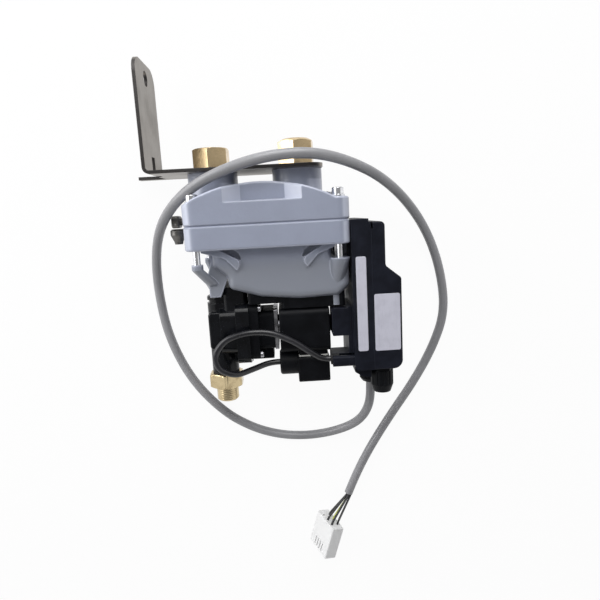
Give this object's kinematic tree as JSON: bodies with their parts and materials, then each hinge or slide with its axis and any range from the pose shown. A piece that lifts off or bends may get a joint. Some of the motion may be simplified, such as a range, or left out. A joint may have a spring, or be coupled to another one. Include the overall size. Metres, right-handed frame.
{
  "type": "automatic drain valve",
  "caption": "Level-controlled condensate drain: cast reservoir with inlet fittings on a bracket, pilot solenoid valve, electronics box and flying cord.",
  "frame": {"origin": "middle of the drain without its cord, seen from the front, in the plane that its back faces lie on", "axes": "+Y up as installed, from the outlet to the inlets; +Z out of the front, away from the surface it lies on; +X to the right seen from the front, towards the electronics"},
  "size_m": [0.3045, 0.5062, 0.0973],
  "materials": {
    "cast_paint": "satin blue-grey lacquer on cast aluminium",
    "bracket_steel": "brushed stainless sheet",
    "brass": "turned brass",
    "zinc_steel": "bright zinc-plated steel",
    "dark_steel": "dark tarnished steel",
    "valve_black": "glossy black glass-filled polyamide",
    "coil_black": "matt black moulding",
    "case_black": "finely textured black housing plastic",
    "rubber": "black rubber",
    "pale_gasket": "pale silicone",
    "core_iron": "ground iron",
    "spring_steel": "spring wire",
    "board": "green circuit board",
    "lens": "clear lamp lens",
    "cord_grey": "grey PVC sheath",
    "wire_black": "black core insulation",
    "wire_earth": "green and yellow core insulation",
    "nylon": "natural white nylon",
    "button_grey": "dark grey button plastic"
  },
  "bodies": {
    "drain": {"cover": "cast_paint", "housing": "cast_paint", "housing_seal": "rubber", "level_sensor": "nylon", "bracket": "bracket_steel", "inlet_plug": "brass", "inlet_adapter": "brass", "port_seals": "rubber", "cover_bolts": "zinc_steel", "bolt_washers": "zinc_steel", "vent_eye": "dark_steel", "vent_knob": "dark_steel", "adapter_block": "valve_black", "valve_body": "valve_black", "diaphragm_cover": "valve_black", "valve_screws": "zinc_steel", "diaphragm": "rubber", "closing_spring": "spring_steel", "outlet_adapter": "brass", "outlet_seal": "rubber", "solenoid_plate": "zinc_steel", "armature_tube": "core_iron", "fixed_core": "core_iron", "plunger_spring": "spring_steel", "coil": "coil_black", "coil_nut": "coil_black", "plug_gasket": "pale_gasket", "valve_plug": "coil_black", "plug_screw": "zinc_steel", "plug_gland_nut": "coil_black", "solenoid_lead": "wire_black", "lead_grommet": "rubber", "electronics_base": "case_black", "hood": "case_black", "lamp_lenses": "lens", "circuit_board": "board", "button_spring": "spring_steel", "front_gland": "coil_black", "front_gland_nut": "coil_black", "blanking_insert": "rubber", "cord_gland": "coil_black", "cord_gland_nut": "coil_black", "power_cord": "cord_grey", "core_wires": "wire_black", "earth_wire": "wire_earth", "connector_shell": "nylon", "connector_pins": "brass"},
    "closing_disc": {"closing_disc": "rubber", "backing_plate": "brass"},
    "plunger": {"plunger": "core_iron"},
    "test_button": {"test_button": "button_grey"}
  },
  "joints": [
    {"name": "closing_disc_lift", "type": "slide", "parent": "drain", "child": "closing_disc", "axis": [1, 0, 0], "range_m": [0, 0.002], "stiffness_N_per_m": 400, "springref_m": -0.004, "deforming": ["diaphragm", "closing_spring"]},
    {"name": "plunger_stroke", "type": "slide", "parent": "drain", "child": "plunger", "axis": [1, 0, 0], "range_m": [0, 0.0015], "stiffness_N_per_m": 600, "springref_m": -0.003, "deforming": ["plunger_spring"]},
    {"name": "test_button_press", "type": "slide", "parent": "drain", "child": "test_button", "axis": [-1, 0, 0], "range_m": [0, 0.001], "stiffness_N_per_m": 800, "springref_m": -0.001, "deforming": ["button_spring"]}
  ]
}
